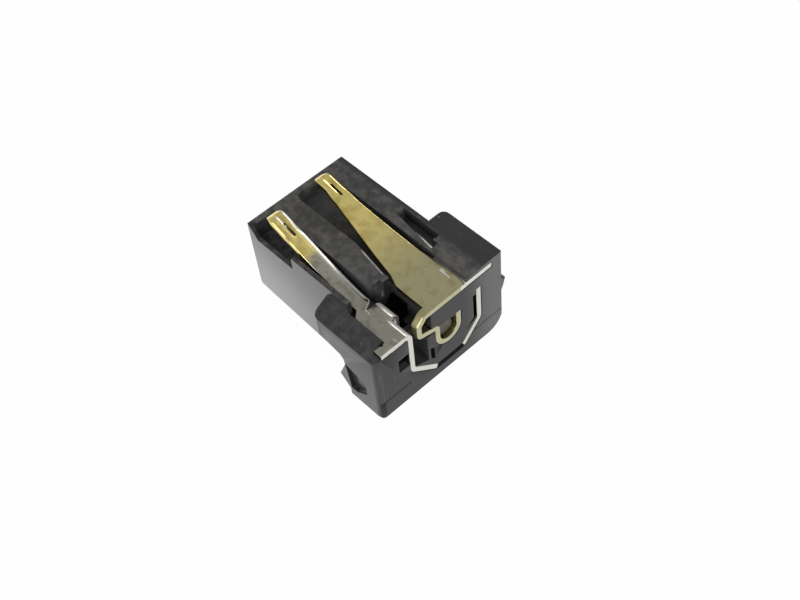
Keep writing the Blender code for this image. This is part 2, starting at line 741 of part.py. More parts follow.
def tip_slot(middle, tip):
    x = (middle - SLOT_WIDTH / 2, middle + SLOT_WIDTH / 2)
    return block("tip_slot", x, (tip - SLOT_START, tip - SLOT_END), (TOP - MM, TOP + CREST_RISE + MM))


def sheet_block(name, x, y, z):
    return block(name, x, y, (z - SHEET / 2, z + SHEET / 2))


def band_relief():
    """The flat at the bottom of the U is set back from the rear face."""
    foot = BAND_FOOT - 0.06 * MM
    z = (BAND_Z - SHEET, BAND_Z + SHEET)
    return block("band_relief", (BORE_X - foot, BORE_X + foot), (REAR - MM, REAR + BAND_SET_BACK), z)


def shoulder():
    """The lug beside the arm, which shows in the window."""
    left, right = BORE_X + WIDE_RIGHT - 0.30 * MM, BORE_X + WIDE_RIGHT + SHOULDER_REACH
    inner = BORE_X + CHANNEL_RIGHT + 0.05 * MM
    near, root = REAR + WING_LENGTH - 0.30 * MM, REAR + WIDE_ROOT - 0.10 * MM
    bend, far = REAR + WINDOW_START, REAR + SHOULDER_LENGTH
    lean = WINDOW_SLANT * (far - bend) / WINDOW_LENGTH
    outline = [
        (left, near), (right, near), (right, bend), (right + lean, far),
        (inner, far), (inner, root), (left, root),
    ]
    return along_z("shoulder", outline, WIDE_Z - SHEET / 2, WIDE_Z + SHEET / 2)


def make_pin_contact(mat):
    path = arm_path(REAR + WIDE_ROOT, WIDE_Z, WIDE_TIP)
    contact = leaf("pin_contact", path, wide_edges)
    right = BORE_X + WIDE_RIGHT
    reach = (right - 0.30 * MM, right + WING_REACH)
    wing = sheet_block("rear_wing", reach, (REAR, REAR + WING_LENGTH), WIDE_Z)
    combine(contact, wing, "UNION")
    combine(contact, shoulder(), "UNION")
    combine(contact, band("hook", hook_path(), SHEET, REAR, REAR + HOOK_LENGTH), "UNION")
    combine(contact, tip_slot(BORE_X + WIDE_TIP_SHIFT, WIDE_TIP), "DIFFERENCE")
    finish(contact, mat, (BORE_X, REAR + WIDE_ROOT, WIDE_Z))
    return contact


def make_sleeve_contact(mat):
    path = arm_path(REAR + NARROW_ROOT, NARROW_Z, NARROW_TIP)
    contact = leaf("sleeve_contact", path, narrow_edges)
    reach = (-HALF - LEFT_WING, -HALF + 0.50 * MM)
    wing = sheet_block("left_wing", reach, (REAR, REAR + LEFT_WING_LENGTH), NARROW_Z)
    combine(contact, wing, "UNION")
    combine(contact, band("u_band", u_path(), SHEET, REAR, REAR + BAND_WIDTH), "UNION")
    combine(contact, band_relief(), "DIFFERENCE")
    start = REAR + FINGER_START
    finger = band("finger", finger_path(), SHEET, start, start + FINGER_WIDTH)
    combine(contact, finger, "UNION")
    combine(contact, tip_slot(NARROW_X, NARROW_TIP), "DIFFERENCE")
    finish(contact, mat, (NARROW_X, REAR + NARROW_ROOT, NARROW_Z))
    return contact


def make_centre_pin(mat):
    tip = FACE - PIN_INSET
    web = REAR + CORE_DEPTH
    round_end = []
    for i in range(6):
        angle = math.radians(18 * i)
        y = tip - PIN_NOSE * (1 - math.sin(angle))
        round_end.append((y, PIN_RADIUS - 0.26 * MM * (1 - math.cos(angle))))
    profile = [
        (REAR + TAIL_INSET, PIN_TAIL - 0.06 * MM),
        (REAR + TAIL_INSET + 0.06 * MM, PIN_TAIL),
        (web + 0.02 * MM, PIN_TAIL),
        (web + 0.02 * MM, PIN_RADIUS),
    ] + round_end
    pin = turned("centre_pin", profile)
    finish(pin, mat, (BORE_X, web, BORE_Z))
    return pin


def main():
    for obj in list(bpy.data.objects):
        bpy.data.objects.remove(obj, do_unlink=True)
    plastic = material("moulded_black", (0.035, 0.035, 0.038), 0.42, 0.0)
    gold = material("plated_spring", (0.80, 0.66, 0.32), 0.28, 1.0)
    nickel = material("turned_pin", (0.62, 0.58, 0.50), 0.25, 1.0)
    make_housing(plastic)
    make_pin_contact(gold)
    make_sleeve_contact(gold)
    make_centre_pin(nickel)


main()
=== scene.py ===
# %% [markdown]
# A charging port connector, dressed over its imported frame. The real part is about as long as a
# fingernail: one black moulding, two gold-plated springs that press on a board, and a turned pin
# inside the bore. The frame gives every piece its place, and this file gives it its surface.

# %% Load the frame
import math

import bmesh
import bpy
from mathutils import Matrix, Vector


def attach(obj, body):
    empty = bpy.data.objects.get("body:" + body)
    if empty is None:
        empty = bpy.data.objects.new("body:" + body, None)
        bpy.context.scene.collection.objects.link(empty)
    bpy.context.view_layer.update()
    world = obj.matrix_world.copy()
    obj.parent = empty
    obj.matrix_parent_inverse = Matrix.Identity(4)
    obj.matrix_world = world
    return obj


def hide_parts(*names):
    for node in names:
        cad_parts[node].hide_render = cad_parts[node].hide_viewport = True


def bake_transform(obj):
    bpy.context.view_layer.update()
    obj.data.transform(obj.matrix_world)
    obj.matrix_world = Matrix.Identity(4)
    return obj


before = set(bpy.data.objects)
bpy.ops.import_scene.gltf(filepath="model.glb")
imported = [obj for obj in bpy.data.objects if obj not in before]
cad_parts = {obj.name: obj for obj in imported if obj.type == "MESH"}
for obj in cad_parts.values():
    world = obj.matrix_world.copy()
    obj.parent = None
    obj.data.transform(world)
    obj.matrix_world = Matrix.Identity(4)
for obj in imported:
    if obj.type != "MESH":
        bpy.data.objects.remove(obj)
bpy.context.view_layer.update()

MM = 0.001

# %% [markdown]
# The camera stands where the photographer's did: above the left rear corner, about 60 mm away.
# A lens position could be judged by eye, but a small box seen this close shows strong perspective.
# So the place and the three directions come from straight edges of the housing, followed in the
# photograph and solved together.

# %% Camera
CAMERA_AT = Vector((-21.821, -29.916, 47.361)) * MM
CAMERA_RIGHT = Vector((0.725731, -0.684263, -0.071411)).normalized()
CAMERA_AHEAD = Vector((0.383765, 0.488785, -0.783463)).normalized()
FOCAL_PIXELS, IMAGE_WIDTH, SENSOR = 1273.98, 800, 36.0

camera = bpy.data.objects.new("camera", bpy.data.cameras.new("camera"))
bpy.context.scene.collection.objects.link(camera)
up = CAMERA_RIGHT.cross(CAMERA_AHEAD)
turn = Matrix((CAMERA_RIGHT, up, -CAMERA_AHEAD)).transposed().to_4x4()
turn.translation = CAMERA_AT
camera.matrix_world = turn
camera.data.sensor_width = SENSOR
camera.data.lens = FOCAL_PIXELS / IMAGE_WIDTH * SENSOR
camera.data.clip_start, camera.data.clip_end = 0.001, 10.0
bpy.context.scene.camera = camera
bpy.context.scene.view_settings.view_transform = "Standard"
print("lens", round(camera.data.lens, 2), "mm, distance", round(CAMERA_AT.length / MM, 1), "mm")

# %% [markdown]
# Shader maths reads best as arithmetic. This small class wraps one output socket, so that
# 1 - mask or grain * 0.2 adds the Math nodes by itself. All other nodes come from one method of
# the material's own class, which also feeds values and links to a node's sockets.

# %% Sockets as numbers
class Wire:
    def __init__(self, finish, socket):
        self.finish, self.socket = finish, socket

    def maths(self, operation, first, second):
        return self.finish.add("ShaderNodeMath", {"operation": operation}, {0: first, 1: second})

    def __add__(self, other):
        return self.maths("ADD", self, other)

    def __sub__(self, other):
        return self.maths("SUBTRACT", self, other)

    def __rsub__(self, other):
        return self.maths("SUBTRACT", other, self)

    def __mul__(self, other):
        return self.maths("MULTIPLY", self, other)

    def __neg__(self):
        return self.maths("SUBTRACT", 0, self)

    def __abs__(self):
        return self.finish.add("ShaderNodeMath", {"operation": "ABSOLUTE"}, {0: self})

    __radd__, __rmul__ = __add__, __mul__


class Finish:
    """One material, with its shader and the place on the object."""

    def __init__(self, name):
        self.material = bpy.data.materials.new(name)
        self.material.use_nodes = True
        self.tree = self.material.node_tree
        self.shader = self.tree.nodes["Principled BSDF"]
        self.place = self.add("ShaderNodeTexCoord", out="Object")

    def add(self, kind, settings=None, sockets=None, out=0):
        node = self.tree.nodes.new(kind)
        for name, value in (settings or {}).items():
            setattr(node, name, value)
        self.feed(node, sockets or {})
        return Wire(self, node.outputs[out])

    def feed(self, node, sockets):
        for name, value in sockets.items():
            if isinstance(value, Wire):
                self.tree.links.new(value.socket, node.inputs[name])
            else:
                node.inputs[name].default_value = value


print("a wired socket takes + - * and abs, and gives Math nodes")

# %% [markdown]
# A few patterns serve every finish here: blotches of one size, a soft step between two levels, and
# one direction of the place. The noise reads places in metres, so a scale of 1000 is one blotch a
# millimetre. Colours are mixed by a Mix node, because a Math node would turn them grey.

# %% Patterns
def blotches(finish, per_mm, detail=3.0, stretch=(1, 1, 1), rough=0.55):
    place = finish.add("ShaderNodeVectorMath", {"operation": "MULTIPLY"},
                       {0: finish.place, 1: stretch}, out="Vector")
    return finish.add("ShaderNodeTexNoise", {"noise_dimensions": "3D"},
                      {"Vector": place, "Scale": per_mm * 1000, "Detail": detail, "Roughness": rough},
                      out=0)


def step(finish, value, start, end):
    return finish.add("ShaderNodeMapRange", {"interpolation_type": "SMOOTHSTEP"},
                      {"Value": value, "From Min": start, "From Max": end})


def direction(finish, axis, source=None):
    return finish.add("ShaderNodeSeparateXYZ", {}, {0: source or finish.place}, out=axis)


def mixed(finish, share, first, second):
    node = {"data_type": "RGBA"}
    return finish.add("ShaderNodeMix", node, {"Factor": share, 6: first, 7: second}, out=2)


def relief(finish, height, distance_mm, strength=1.0, normal=None):
    sockets = {"Height": height, "Distance": distance_mm * MM, "Strength": strength}
    if normal:
        sockets["Normal"] = normal
    return finish.add("ShaderNodeBump", {}, sockets)


print("patterns: blotches, step, direction, mixed, relief")

# %% [markdown]
# The housing is injection moulded in black, slightly glossy plastic. Close up it isn't one flat black:
# handling leaves paler scuffs, and dust sits on the top and in the pockets. The rear face is also
# painted paler on its right, as painted light. A painted texture would need an image, so layered noise
# does it here. Each layer is a colour laid over the last one by a mask, and each has its own small
# function.

# %% Black, scuffs, dust and painted light
BLACK, SOFTER_BLACK, SCUFFED = (0.026, 0.026, 0.030, 1), (0.044, 0.043, 0.045, 1), (0.13, 0.13, 0.125, 1)
SPECKS, POCKET_DUST = (0.30, 0.29, 0.27, 1), (0.115, 0.112, 0.102, 1)
HANDLED, REAR_PAINTED_LIGHT = (0.125, 0.121, 0.112, 1), (0.16, 0.158, 0.16, 1)
POCKET_EDGE = -1.5 * MM     # the narrow spring's pocket lies to the left of this


def scuffed_black(finish, soft, scuff):
    return mixed(finish, scuff * 0.45, mixed(finish, soft, BLACK, SOFTER_BLACK), SCUFFED)


def dusted(finish, colour, place, facing):
    """Single specks all over, and a mottled layer of dust in the pocket and on the top."""
    x, y, z = place
    speck = step(finish, blotches(finish, 5.5, 1.0), 0.74, 0.78)
    mottled = step(finish, blotches(finish, 2.4, 6.0, rough=0.65), 0.38, 0.66)
    level = step(finish, facing["Z"], 0.8, 0.95)
    pocket = (1 - step(finish, x, POCKET_EDGE - 0.2 * MM, POCKET_EDGE)) * level
    top = (1 - step(finish, abs(x), 2.4 * MM, 2.8 * MM)) * level * step(finish, z, 4.0 * MM, 5.0 * MM)
    colour = mixed(finish, speck * 0.5, colour, SPECKS)
    colour = mixed(finish, pocket * mottled * 0.7, colour, POCKET_DUST)
    return mixed(finish, top * (0.25 + mottled * 0.6), colour, HANDLED)


def rear_painted_light(finish, colour, place, facing):
    """The rear face is painted paler on its right: painted light."""
    rear = step(finish, place[0], 1.2 * MM, 3.4 * MM) * step(finish, -facing["Y"], 0.8, 0.95)
    # Painted light: the right part of the rear face is coloured paler, as if lit more brightly there.
    return mixed(finish, rear, colour, REAR_PAINTED_LIGHT)


print("colour layers from", BLACK[:3], "to", SPECKS[:3])

# %% [markdown]
# A moulding's edges are a little round, and they are the first to lose their gloss. The Bevel node
# gives the normal of a rounded edge, so where it leaves the face's own normal there is an edge.
# One stretch of the slanted edge beside the wide spring carries a painted highlight, almost white.

# %% Worn edges and a painted highlight
EDGE_ROUND = 0.05 * MM
WORN, PAINTED_GLINT = (0.14, 0.135, 0.13, 1), (0.85, 0.80, 0.70, 1)
SLANT, SLANT_SHIFT = 0.155, 0.335 * MM     # the channel's slanted edge is x = SLANT * y - SLANT_SHIFT


def worn_edges(finish, colour, rounded_normal, plain):
    aligned = finish.add("ShaderNodeVectorMath", {"operation": "DOT_PRODUCT"},
                         {0: rounded_normal, 1: plain}, out="Value")
    return mixed(finish, step(finish, 1 - aligned, 0.02, 0.20) * 0.25, colour, WORN)


def painted_glint_edge(finish, colour, place, scuff):
    x, y, z = place
    # Painted highlight: a thin near-white line along the slanted edge, where the edge would catch the
    # light.
    line = 1 - step(finish, abs(x - y * SLANT + SLANT_SHIFT), 0.03 * MM, 0.06 * MM)
    stretch = step(finish, y, -2.1 * MM, -1.8 * MM) * (1 - step(finish, y, -0.5 * MM, -0.2 * MM))
    on_top = step(finish, z, 4.8 * MM, 5.0 * MM)
    return mixed(finish, line * stretch * (0.55 + scuff * 0.4) * on_top, colour, PAINTED_GLINT)


print("edges are rounded by", EDGE_ROUND / MM, "mm in the light")

# %% [markdown]
# The left side is glossier than the rest and mirrors the white table. A clear coat is the simplest
# way to give one face more gloss. It grows towards the mouth and fades towards the top. Fine noise
# in the normal stands for the mould's spark texture.

# %% The plastic
COAT_GLOSS, COAT_IOR = 0.12, 1.8


def polish(finish, place, facing):
    x, y, z = place
    outer = step(finish, -facing["X"], 0.55, 0.9)
    lower = 0.50 - step(finish, z, 1.5 * MM, 5.0 * MM) * 0.35
    body = step(finish, x, -3.5 * MM, -3.0 * MM) * 0.40 + lower
    return outer * body * (step(finish, y, -5.0 * MM, 5.5 * MM) + 0.45)


def make_plastic():
    finish = Finish("moulded_plastic")
    soft = blotches(finish, 1.1, 4.0)
    scuff = step(finish, blotches(finish, 3.2, 6.0, rough=0.7), 0.56, 0.72)
    scuff = scuff * step(finish, soft, 0.42, 0.62)
    rounded_normal = finish.add("ShaderNodeBevel", {"samples": 6}, {"Radius": EDGE_ROUND})
    plain = finish.add("ShaderNodeNewGeometry", out="Normal")
    place = [direction(finish, axis) for axis in "XYZ"]
    facing = {axis: direction(finish, axis, plain) for axis in "XYZ"}
    colour = worn_edges(finish, scuffed_black(finish, soft, scuff), rounded_normal, plain)
    colour = painted_glint_edge(finish, colour, place, scuff)
    colour = dusted(finish, colour, place, facing)
    finish.feed(finish.shader, {
        "Base Color": rear_painted_light(finish, colour, place, facing),
        "Roughness": 0.30 + soft * 0.10 + scuff * 0.12,
        "Specular IOR Level": 0.22,
        "Coat Weight": polish(finish, place, facing),
        "Coat Roughness": COAT_GLOSS,
        "Coat IOR": COAT_IOR,
        "Normal": relief(finish, blotches(finish, 9.0, 3.0), 0.010, 0.4, rounded_normal),
    })
    return finish.material


moulded_plastic = make_plastic()
print("plastic nodes", len(moulded_plastic.node_tree.nodes))

# %% [markdown]
# The housing's form is the frame's. Its many cuts leave flat faces in small triangles, which would
# shade unevenly, so the flat faces are merged first and keep their own direction by weighted
# normals. A moulding has no knife edges either: the plastic's bevel node rounds them for the light.

# %% Housing
FLAT_ANGLE = math.radians(1.0)


def new_piece(name, bm, materials, smooth_angle=32):
    mesh = bpy.data.meshes.new(name)
    bmesh.ops.recalc_face_normals(bm, faces=bm.faces)
    bm.to_mesh(mesh)
    bm.free()
    mesh.shade_smooth()
    mesh.set_sharp_from_angle(angle=math.radians(smooth_angle))
    piece = bpy.data.objects.new(name, mesh)
    bpy.context.scene.collection.objects.link(piece)
    for material in materials:
        mesh.materials.append(material)
    return piece


def merged_flats(node):
    bm = bmesh.new()
    bm.from_mesh(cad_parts[node].data)
    bmesh.ops.remove_doubles(bm, verts=bm.verts, dist=1e-7)
    bmesh.ops.dissolve_limit(bm, angle_limit=FLAT_ANGLE, use_dissolve_boundaries=False,
                             verts=bm.verts, edges=bm.edges)
    return bm


housing_shell = new_piece("housing_shell", merged_flats("housing"), [moulded_plastic])
weighted = housing_shell.modifiers.new("flat faces stay flat", "WEIGHTED_NORMAL")
weighted.weight, weighted.keep_sharp = 100, True
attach(housing_shell, "housing")
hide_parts("housing")
print("housing has", len(housing_shell.data.polygons), "faces")

# %% [markdown]
# The springs are stamped from thin copper alloy and plated. The gold is brightest at the tips,
# which touch the board, and thins out towards the roots, where the grey-green base metal shows.
# Stamping leaves bare edges: those at the rear and those on the right have their own colour. On the
# narrow spring the right edge and the flank beside its crease are instead painted a pale white, a
# painted highlight. One function makes every plated finish, told where along the arm the gold fades and
# how much of the right edge takes that painted highlight.

# %% Plated spring metal
GOLD, DEEP_GOLD = (0.90, 0.74, 0.27, 1), (0.62, 0.50, 0.16, 1)
OLIVE, DARK_OLIVE, OLIVE_EDGE = (0.50, 0.47, 0.27, 1), (0.42, 0.37, 0.19, 1), (0.46, 0.44, 0.29, 1)
GREY, DARK_GREY, GREY_EDGE = (0.38, 0.37, 0.31, 1), (0.27, 0.26, 0.20, 1), (0.70, 0.69, 0.63, 1)
TIN, DARK_TIN, PAINTED_HIGHLIGHT = (0.86, 0.85, 0.79, 1), (0.60, 0.59, 0.52, 1), (0.90, 0.88, 0.83, 1)
FADE_WANDER = 1.2 * MM


def make_plated(name, bare_until, gold_from, bare, dull, edge, side_from=0.45, highlight_share=0.0):
    """side_from is how far a face must turn to the right to count as the right edge."""
    finish = Finish(name)
    cloud = blotches(finish, 1.6, 4.0)
    wander = (cloud - 0.5) * FADE_WANDER
    fade = step(finish, direction(finish, "Y") + wander, bare_until * MM, gold_from * MM)
    facing = finish.add("ShaderNodeNewGeometry", out="Normal")
    rear = step(finish, -direction(finish, "Y", facing), 0.80, 0.95)
    side = step(finish, direction(finish, "X", facing), side_from, side_from + 0.15)
    gold = mixed(finish, step(finish, cloud, 0.40, 0.68), GOLD, DEEP_GOLD)
    worn = mixed(finish, step(finish, blotches(finish, 2.6, 5.0), 0.46, 0.70), bare, dull)
    plated = mixed(finish, rear * 0.85, mixed(finish, fade, worn, gold), edge)
    streak = blotches(finish, 7.0, 0.5, (1.0, 0.05, 0.3))
    finish.feed(finish.shader, {
        # Painted highlight: on the narrow spring the right-facing faces turn pale white and less
        # metallic, to draw the crease's bright line.
        "Base Color": mixed(finish, side * 0.8, plated, PAINTED_HIGHLIGHT if highlight_share else edge),
        "Metallic": 1 - side * highlight_share if highlight_share else 1.0,
        "Roughness": 0.17 + (1 - fade) * 0.05 + step(finish, cloud, 0.5, 0.75) * 0.07,
        "Normal": relief(finish, streak, 0.010, 0.25),
    })
    return finish.material


wide_plating = make_plated("wide_spring_plating", -3.4, 1.6, OLIVE, DARK_OLIVE, OLIVE_EDGE)
narrow_plating = make_plated("narrow_spring_plating", 0.5, 1.2, GREY, DARK_GREY, GREY_EDGE, 0.14, 0.7)
wing_plating = make_plated("wing_plating", 8.0, 9.0, TIN, DARK_TIN, GREY_EDGE)
print("plating nodes", len(wide_plating.node_tree.nodes))

# %% [markdown]
# Folded sheet metal is one section moved along one path. The section is a flat bar with rolled
# upper corners, as a stamping tool leaves them, and the path is the side view of the bend.
# A Solidify modifier could give the thickness, but not the rolled corners.

# %% Sheet sections and paths
SHEET = 0.28
TOP_ROUND, LOW_ROUND = 0.050, 0.020
OVERLAP = 1.004


def corner(x, h, radius, start):
    turns = [math.radians(start - 90 * i / 3) for i in range(4)]
    return [(x + radius * math.cos(a), h + radius * math.sin(a)) for a in turns]


def sheet_section(left, right, thick=SHEET, top=TOP_ROUND, low=LOW_ROUND, across=12):
    half = thick / 2
    upper = corner(left + top, half - top, top, 180)
    width = right - left - 2 * top
    upper += [(left + top + width * i / across, half) for i in range(1, across)]
    upper += corner(right - top, half - top, top, 90)
    lower = corner(right - low, low - half, low, 0)
    width = right - left - 2 * low
    lower += [(right - low - width * i / across, -half) for i in range(1, across)]
    return upper + lower + corner(left + low, low - half, low, -90)


def rounded(points, radius, steps=8):
    path = [Vector(points[0])]
    for before, at, after in zip(points, points[1:], points[2:]):
        at = Vector(at)
        back, ahead = (Vector(before) - at), (Vector(after) - at)
        room = 0.48 * min(back.length, ahead.length)
        back, ahead = back.normalized(), ahead.normalized()
        half = back.angle(ahead) / 2
        reach = min(radius / math.tan(half), room)
        middle = at + (back + ahead).normalized() * reach / math.cos(half)
        start, end = at + back * reach - middle, at + ahead * reach - middle
        turned = (math.pi - 2 * half) * (1 if start.cross(end) > 0 else -1)
        path += [middle + Matrix.Rotation(turned * i / steps, 2) @ start for i in range(steps + 1)]
    return path + [Vector(points[-1])]


def path_normals(path):
    normals = []
    for i in range(len(path)):
        along = (path[min(i + 1, len(path) - 1)] - path[max(i - 1, 0)]).normalized()
        normals.append(Vector((-along.y, along.x)))
    return normals


def skin(rings):
    bm = bmesh.new()
    rows = [[bm.verts.new(Vector(p) * MM) for p in ring] for ring in rings]
    count = len(rows[0])
    for near, far in zip(rows, rows[1:]):
        for i in range(count):
            j = (i + 1) % count
            bm.faces.new((near[i], near[j], far[j], far[i]))
    bm.faces.new(rows[0])
    bm.faces.new(rows[-1])
    return bm


print("a section has", len(sheet_section(-1, 1)), "points")

# %% [markdown]
# Each spring arm rises from the housing in a slow curve, turns over in a round crest and ends in a
# short nose that slopes down. The crest is split by a fine slot, and the metal on each side of it
# is slightly domed, so that the spring touches the board in two places. A curve could be swept by
# a curve object, but only mesh code can lift single points of the section by a formula.

# %% Spring arms
REAR, TOP = -4.75, 5.09
CREST_RISE, CREST_ROUND = 0.95, 0.42
NOSE_LENGTH, NOSE_ANGLE = 0.26, math.radians(38)


def ease(value, start, end):
    t = min(max((value - start) / (end - start), 0), 1)
    return t * t * (3 - 2 * t)


STATIONS = 90              # along the rise; fewer would show as dots along the bright edges
ARM_START = REAR + 0.004


def arm_path(root_y, root_z, tip_y):
    crest_z = TOP + CREST_RISE - SHEET / 2
    crest_y = tip_y - CREST_ROUND * math.sin(NOSE_ANGLE) - NOSE_LENGTH * math.cos(NOSE_ANGLE)
    start = root_y - 0.9
    path = [Vector((ARM_START + (start - ARM_START) * i / 6, root_z)) for i in range(6)]
    for i in range(STATIONS):
        t = i / STATIONS
        lift = t * t * (1.9 - 0.9 * t)
        path.append(Vector((start + (crest_y - start) * t, root_z + (crest_z - root_z) * lift)))
    for i in range(11):
        angle = NOSE_ANGLE * i / 10
        drop = CREST_ROUND * (1 - math.cos(angle))
        path.append(Vector((crest_y + CREST_ROUND * math.sin(angle), crest_z - drop)))
    last, fall = path[-1], Vector((math.cos(NOSE_ANGLE), -math.sin(NOSE_ANGLE)))
    return path + [last + fall * NOSE_LENGTH * k for k in (0.35, 0.7, 0.88, 0.96, 1.0)]


def spring_arm(name, path, edges, shape, material, across=12):
    """One arm; shape(x, y) lifts the sheet, and the last stations round its end."""
    rings = []
    shrink = [0.0] * (len(path) - 3) + [0.006, 0.020, 0.050]
    for point, normal, less in zip(path, path_normals(path), shrink):
        left, right = edges(point.x)
        ring = []
        for x, h in sheet_section(left + less, right - less, SHEET - less, across=across):
            h += shape(x, point.x)
            ring.append((x, point.x + normal.x * h, point.y + normal.y * h))
        rings.append(ring)
    return new_piece(name, skin(rings), [material], 40)


SLOT_START, SLOT_END, SLOT_WIDTH = 1.60, 0.82, 0.13    # start and end are measured from the tip


def cut_slot(piece, x, tip):
    """A through slot with round ends, cut by an exact Boolean and applied."""
    bm = bmesh.new()
    half = SLOT_WIDTH / 2
    near, far = tip - SLOT_START + half, tip - SLOT_END - half
    outline = [(x + half * math.cos(a), far + half * math.sin(a))
               for a in (math.pi * i / 6 for i in range(7))]
    outline += [(x + half * math.cos(a), near + half * math.sin(a))
                for a in (math.pi + math.pi * i / 6 for i in range(7))]
    rows = [[bm.verts.new(Vector((px, py, z)) * MM) for px, py in outline] for z in (TOP - 1, TOP + 2)]
    for i in range(len(outline)):
        j = (i + 1) % len(outline)
        bm.faces.new((rows[0][i], rows[0][j], rows[1][j], rows[1][i]))
    bm.faces.new(rows[0])
    bm.faces.new(rows[1])
    cutter = new_piece(piece.name + "_cutter", bm, [])
    cut = piece.modifiers.new("slot", "BOOLEAN")
    cut.object, cut.operation, cut.solver = cutter, "DIFFERENCE", "EXACT"
    bpy.context.view_layer.update()
    graph = bpy.context.evaluated_depsgraph_get()
    slotted = bpy.data.meshes.new_from_object(piece.evaluated_get(graph))
    piece.modifiers.clear()
    piece.data = slotted
    bpy.data.objects.remove(cutter)
    slotted.set_sharp_from_angle(angle=math.radians(40))


print("crest at", round(TOP + CREST_RISE, 2), "mm")

# %% [markdown]
# The wide spring leads to the centre pin. Its arm is as wide as its plate at the root and narrows
# evenly to the tip, with its right edge straightening first. A raised strip runs along the
# plate's right edge. Width and relief are two functions of the place, so either can be changed
# without touching the other.

# %% Wide spring
BORE_X, BORE_Z = 0.46, 2.59
WIDE_Z = TOP - 0.28 - SHEET / 2
WIDE_LEFT, WIDE_RIGHT, WIDE_ROOT = 1.03, 1.13, 2.10
WIDE_TIP, TIP_SHIFT, TIP_WIDTH = 3.85, 0.40, 0.72
STRIP_WIDTH, STRIP_SLOPE, STRIP_LENGTH = 0.28, 0.30, 2.3


def wide_edges(y):
    root = REAR + WIDE_ROOT
    waist = ease(y, root, root + 0.70)
    nose = 0.12 * ease(y, WIDE_TIP - 0.35, WIDE_TIP)
    middle = BORE_X + TIP_SHIFT
    found = []
    for side, base, taper_end, loss in ((-1, WIDE_LEFT, 0.90, 0.12), (1, WIDE_RIGHT, 2.30, 0.04)):
        t = min(max((y - root) / (WIDE_TIP - taper_end - root), 0), 1)
        near = BORE_X + side * (base - loss * waist)
        found.append(near + (middle + side * TIP_WIDTH / 2 - near) * t - side * nose)
    return found


DOME_CURVE, DOME_PLACE = 1.5, 0.19


def domes(x, y, middle, tip):
    """The metal on each side of the slot falls both ways from its own middle line."""
    reach = ease(y, tip - 1.75, tip - 1.15) * (1 - ease(y, tip - 0.50, tip - 0.15))
    return -reach * DOME_CURVE * (abs(x - middle) - DOME_PLACE) ** 2


def wide_shape(x, y):
    ridge = BORE_X + WIDE_RIGHT - STRIP_WIDTH * (1 - ease(y, REAR, REAR + STRIP_LENGTH))
    raised = (1 - ease(y, REAR + 1.9, REAR + 2.5)) * ease(y, REAR, REAR + 0.6)
    strip = STRIP_SLOPE * max(x - ridge, 0) * raised
    return strip + domes(x, y, BORE_X + TIP_SHIFT, WIDE_TIP)


wide_spring = spring_arm("wide_spring", arm_path(REAR + WIDE_ROOT, WIDE_Z, WIDE_TIP),
                         wide_edges, wide_shape, wide_plating, 24)
cut_slot(wide_spring, BORE_X + TIP_SHIFT, WIDE_TIP)
print("wide spring", len(wide_spring.data.polygons), "faces")

# %% [markdown]
# The narrow spring leads to the sleeve. Its blade is creased along its length, near its right edge, for
# stiffness. The narrow flank beyond the crease shows as one long bright line: it alone is turned enough
# to the right to mirror the long lamp there, and its plating also paints it pale white, a painted
# highlight.

# %% Narrow spring
HALF = 2.85
CREASE_PLACE, CREASE_ROUND = 0.22, 0.04    # the place is a share of the arm's width, from its middle
RIGHT_SLOPE, LEFT_SLOPE = 0.32, 0.10
NARROW_Z = TOP - 0.67 - SHEET / 2
NARROW_X, NARROW_WIDTH, NARROW_ROOT, NARROW_TIP = -2.09, 0.82, 2.66, 3.65
LEG_LEFT = BORE_X - 1.75 - 0.33 - SHEET / 2
PLATE_EDGE = LEG_LEFT - 0.33 - 0.08


def narrow_edges(y):
    root = ease(y, REAR + NARROW_ROOT - 0.40, REAR + NARROW_ROOT - 0.05)
    nose = 0.11 * ease(y, NARROW_TIP - 0.35, NARROW_TIP)
    left, right = NARROW_X - NARROW_WIDTH / 2, NARROW_X + NARROW_WIDTH / 2
    plate_left, plate_right = -HALF + 0.03, PLATE_EDGE
    left = plate_left + (left - plate_left) * root
    right = plate_right + (right - plate_right) * root
    return (left + nose, right - nose)


def narrow_shape(x, y):
    run = ease(y, REAR + NARROW_ROOT - 0.3, REAR + NARROW_ROOT + 0.3)
    run *= 1 - ease(y, NARROW_TIP - 1.3, NARROW_TIP - 0.8)
    away = x - NARROW_X - NARROW_WIDTH * CREASE_PLACE
    fall = (RIGHT_SLOPE if away > 0 else LEFT_SLOPE) * (math.hypot(away, CREASE_ROUND) - CREASE_ROUND)
    return domes(x, y, NARROW_X, NARROW_TIP) - run * fall


narrow_spring = spring_arm("narrow_spring", arm_path(REAR + NARROW_ROOT, NARROW_Z, NARROW_TIP),
                           narrow_edges, narrow_shape, narrow_plating, 24)
cut_slot(narrow_spring, NARROW_X, NARROW_TIP)
print("narrow spring", len(narrow_spring.data.polygons), "faces")

# %% [markdown]
# On the real part an arm bends along its length when the board presses it, and its root stays in the
# plastic. A rigid arm would swing its root too. Here each arm's mesh is only baked into place, and the
# frame's contact part is hidden.


def bends(piece, node):
    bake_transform(piece)
    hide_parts(node)


bends(wide_spring, "pin_contact")
bends(narrow_spring, "sleeve_contact")
print("arms bend from y", round(REAR + WIDE_ROOT - 0.6, 2), "and", round(REAR + NARROW_ROOT - 0.1, 2))

# %% [markdown]
# Behind the arms the same sheets are folded across: the hook that grips the pin's tail, the
# U-shaped band round the core and the short finger in the bore. Each is the same section, moved
# along a path seen from the rear.

